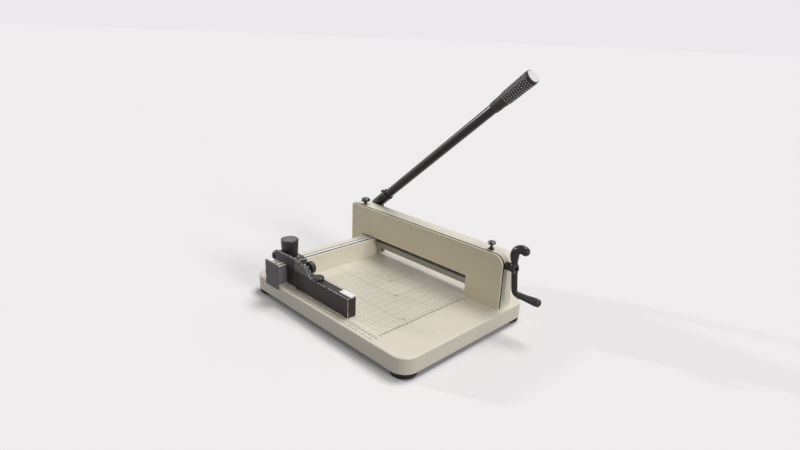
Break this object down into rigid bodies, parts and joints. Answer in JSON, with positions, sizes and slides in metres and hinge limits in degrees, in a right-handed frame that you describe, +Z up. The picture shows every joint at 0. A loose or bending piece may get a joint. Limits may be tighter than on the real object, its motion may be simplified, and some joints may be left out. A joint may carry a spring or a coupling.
{
  "type": "stack paper cutter",
  "caption": "Desk guillotine for a stack of paper: table on rubber feet, gantry with a lever-driven slanting blade, crank-driven screw clamp, side fence and sliding back gauge.",
  "frame": {"origin": "on the bench, at the middle of the base's 500 by 375 mm outline", "axes": "+X along the blade from the lever's pivot to the crank, +Y from the back gauge to the blade and the lever's plane, +Z up"},
  "size_m": [0.5739, 0.3818, 0.5288],
  "materials": {
    "ivory_paint": "satin",
    "plate_paint": "satin",
    "rubber": "matte",
    "grip_rubber": "matte",
    "plug_plastic": "satin",
    "black_paint": "gloss",
    "black_plastic": "satin",
    "pin_black": "gloss",
    "arm_grey": "satin",
    "collar_bronze": "dark satin",
    "bronze": "satin",
    "iron": "machined",
    "gear_steel": "satin",
    "bright_steel": "zinc plated",
    "black_steel": "black oxide",
    "blade_steel": "ground",
    "scale_steel": "satin",
    "stick_plastic": "satin"
  },
  "bodies": {
    "base": {"base_table": "ivory_paint", "feet": "rubber", "foot_screws": "bright_steel", "cutting_stick": "stick_plastic", "gantry_casting": "ivory_paint", "front_plate": "plate_paint", "gantry_bolts": "bright_steel", "plate_screws": "black_steel", "pivot_bush": "bronze", "shaft_brackets": "iron", "bracket_screws": "bright_steel", "shaft_bushes": "bronze", "crank_collar": "collar_bronze", "side_fence": "ivory_paint", "fence_screws": "bright_steel", "scale_strip": "scale_steel", "fence_end_cap": "black_paint", "end_cap_screws": "bright_steel", "pin_guide": "black_paint"},
    "lever": {"lever_hub": "black_paint", "pivot_shaft": "bright_steel", "pivot_nut": "bright_steel", "drive_pin": "bright_steel", "lever_tube": "black_paint", "tube_screw": "black_steel", "lever_grip": "grip_rubber", "grip_plug": "plug_plastic"},
    "roller": {"drive_roller": "bronze"},
    "carrier": {"blade_carrier": "iron", "blade": "blade_steel", "blade_screws": "bright_steel", "guide_bushes": "bronze", "guide_screws": "bright_steel"},
    "clamp": {"clamp_bar": "iron", "clamp_nuts": "bronze"},
    "screw_left": {"clamp_screw_left": "bright_steel", "driven_gear_left": "gear_steel"},
    "screw_right": {"clamp_screw_right": "bright_steel", "driven_gear_right": "gear_steel"},
    "crank": {"crank_shaft": "bright_steel", "drive_gears": "gear_steel", "lock_collar": "gear_steel", "crank_arm": "black_paint", "crank_screw": "black_steel", "grip_axle": "bright_steel"},
    "grip": {"crank_grip": "black_plastic"},
    "gauge": {"gauge_slider": "black_paint", "gauge_arm": "arm_grey", "gauge_screws": "bright_steel", "lock_nut": "bright_steel"},
    "gauge_lock": {"gauge_lock_knob": "black_plastic", "lock_stud": "bright_steel"},
    "side_wheel": {"gauge_wheel": "black_plastic"},
    "stop_knob": {"gauge_stop_knob": "black_plastic"},
    "disc_knob": {"gauge_disc_knob": "black_plastic"},
    "lever_pin": {"lever_lock_pin": "pin_black"},
    "crank_pin": {"crank_lock_pin": "pin_black"}
  },
  "joints": [
    {"name": "lever_swing", "type": "hinge", "parent": "base", "child": "lever", "pos_m": [-0.208, 0.1562, 0.124], "axis": [0, 1, 0], "range_deg": [0, 40]},
    {"name": "roller_spin", "type": "hinge", "parent": "lever", "child": "roller", "pos_m": [-0.15096, 0.131, 0.14476], "axis": [0, 1, 0], "continuous": true},
    {"name": "blade_slide", "type": "slide", "parent": "base", "child": "carrier", "axis": [-0.3414, 0, -0.9399], "range_m": [-0.0001, 0.04404]},
    {"name": "crank_turn", "type": "hinge", "parent": "base", "child": "crank", "pos_m": [0.243, 0.1126, 0.144], "axis": [1, 0, 0], "range_deg": [-2790, 1440]},
    {"name": "grip_spin", "type": "hinge", "parent": "crank", "child": "grip", "pos_m": [0.297, 0.1126, 0.09], "axis": [1, 0, 0], "continuous": true},
    {"name": "screw_left_turn", "type": "hinge", "parent": "base", "child": "screw_left", "pos_m": [-0.113, 0.1126, 0.11], "axis": [0, 0, 1], "range_deg": [-1442, 2792]},
    {"name": "screw_right_turn", "type": "hinge", "parent": "base", "child": "screw_right", "pos_m": [0.107, 0.1126, 0.11], "axis": [0, 0, 1], "range_deg": [-1442, 2792]},
    {"name": "clamp_slide", "type": "slide", "parent": "base", "child": "clamp", "axis": [0, 0, -1], "range_m": [-0.01202, 0.02327]},
    {"name": "gauge_slide", "type": "slide", "parent": "base", "child": "gauge", "axis": [0, 1, 0], "range_m": [-0.02, 0.208]},
    {"name": "gauge_lock_turn", "type": "hinge", "parent": "gauge", "child": "gauge_lock", "pos_m": [-0.172, -0.1385, 0.12], "axis": [0, 0, 1], "range_deg": [-360, 0]},
    {"name": "side_wheel_turn", "type": "hinge", "parent": "gauge", "child": "side_wheel", "pos_m": [-0.2, -0.156, 0.0965], "axis": [1, 0, 0], "continuous": true},
    {"name": "stop_knob_turn", "type": "hinge", "parent": "gauge", "child": "stop_knob", "pos_m": [-0.107, -0.128, 0.0888], "axis": [0, 1, 0], "range_deg": [-360, 360]},
    {"name": "disc_knob_turn", "type": "hinge", "parent": "gauge", "child": "disc_knob", "pos_m": [-0.045, -0.1535, 0.093], "axis": [0, 0, 1], "range_deg": [-360, 360]},
    {"name": "lever_pin_slide", "type": "slide", "parent": "base", "child": "lever_pin", "axis": [0, 0, 1], "range_m": [-0.007, 0]},
    {"name": "crank_pin_slide", "type": "slide", "parent": "base", "child": "crank_pin", "axis": [0, 0, 1], "range_m": [-0.0075, 0]}
  ],
  "couplings": [
    {"joint": "blade_slide", "follows": "lever_swing", "m_per_rad": 0.062939},
    {"joint": "screw_left_turn", "follows": "crank_turn", "ratio": -1},
    {"joint": "screw_right_turn", "follows": "crank_turn", "ratio": -1},
    {"joint": "clamp_slide", "follows": "crank_turn", "m_per_rad": -0.00047746}
  ]
}
